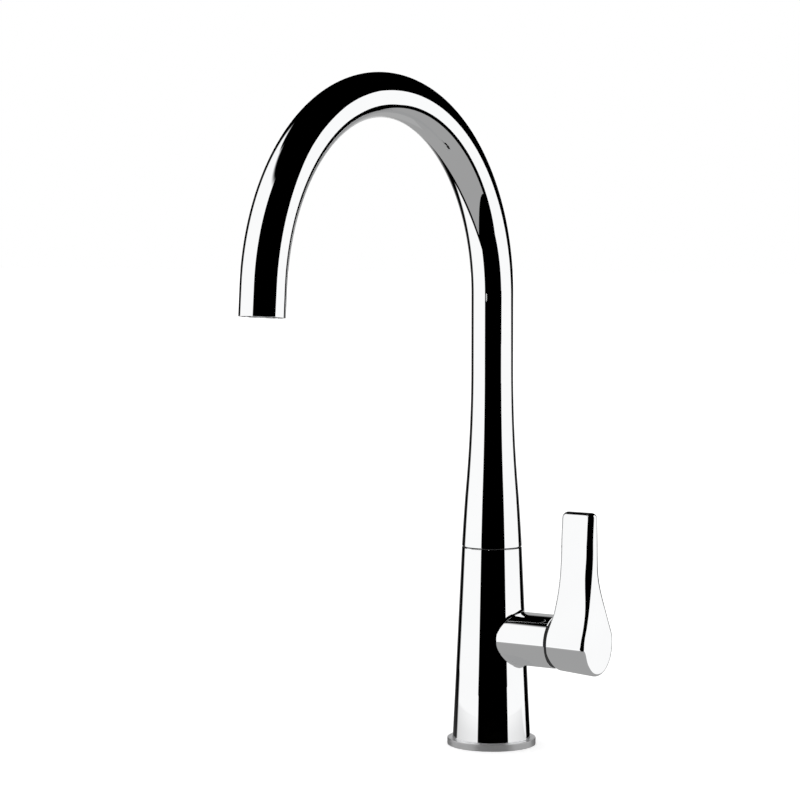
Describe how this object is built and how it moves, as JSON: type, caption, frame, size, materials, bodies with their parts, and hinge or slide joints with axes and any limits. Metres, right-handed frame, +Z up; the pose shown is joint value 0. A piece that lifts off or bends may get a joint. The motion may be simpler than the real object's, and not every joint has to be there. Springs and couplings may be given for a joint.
{
  "type": "three way filtered water tap",
  "caption": "Single-lever kitchen tap with a swivelling arched spout, a side lever on a short barrel and a separate path for filtered water.",
  "frame": {"origin": "centre of the base ring's underside, where the tap meets the top of the worktop, on the axis of the column and shank", "axes": "+Z up along the column; the spout reaches towards -Y; the side barrel and lever point towards +X"},
  "size_m": [0.0993, 0.2619, 0.4451],
  "materials": {
    "polished_chrome": "mirror-polished chrome plate over brass",
    "satin_chrome": "satin chrome plate",
    "brass": "machined brass",
    "steel": "turned stainless steel",
    "black_rubber": "matt moulded rubber",
    "dark_plastic": "dark moulded plastic",
    "white_plastic": "white moulded plastic",
    "ceramic": "lapped alumina ceramic",
    "tube_polymer": "milky polyethylene"
  },
  "bodies": {
    "base": {"base_gasket": "black_rubber", "base_ring": "satin_chrome", "cartridge_base": "white_plastic", "cartridge_housing": "white_plastic", "cartridge_retaining_nut": "brass", "cartridge_seals": "black_rubber", "clamp_gasket": "black_rubber", "clamp_washer": "steel", "dome_ring": "dark_plastic", "fixed_ceramic_disc": "ceramic", "lower_body": "polished_chrome", "shank_nut": "brass", "slip_washer": "dark_plastic", "swivel_stop_screw": "steel", "threaded_shank": "brass"},
    "spout": {"spout_tube": "polished_chrome", "swivel_spigot": "brass", "upper_slide_ring": "white_plastic", "lower_slide_ring": "white_plastic", "spigot_o_rings": "black_rubber", "filtered_water_tube": "tube_polymer", "tube_fitting": "brass", "tube_fitting_seal": "black_rubber", "aerator_housing": "polished_chrome", "aerator_insert": "white_plastic", "filtered_nozzle": "tube_polymer", "aerator_seal": "black_rubber", "outlet_seat_ring": "brass"},
    "turret": {"turret": "white_plastic", "pivot_pin": "steel"},
    "moving_disc": {"moving_ceramic_disc": "ceramic", "disc_driver": "white_plastic"},
    "lever": {"lever_handle": "polished_chrome", "spindle": "steel", "lever_grub_screw": "steel", "screw_hole_cap": "dark_plastic"}
  },
  "joints": [
    {"name": "spout_swivel", "type": "hinge", "parent": "base", "child": "spout", "pos_m": [0, 0, 0.1166], "axis": [0, 0, 1], "range_deg": [-70, 70]},
    {"name": "lever_turn", "type": "hinge", "parent": "base", "child": "turret", "pos_m": [0.03253, 0, 0.0641], "axis": [1, 0, 0], "range_deg": [-45, 90]},
    {"name": "lever_lift", "type": "hinge", "parent": "turret", "child": "lever", "pos_m": [0.03253, 0, 0.0641], "axis": [0, 1, 0], "range_deg": [0, 14]},
    {"name": "disc_slide", "type": "slide", "parent": "turret", "child": "moving_disc", "axis": [0, 0, 1], "range_m": [0, 0.0024]}
  ],
  "couplings": [
    {"joint": "disc_slide", "follows": "lever_lift", "m_per_rad": 0.0093}
  ]
}
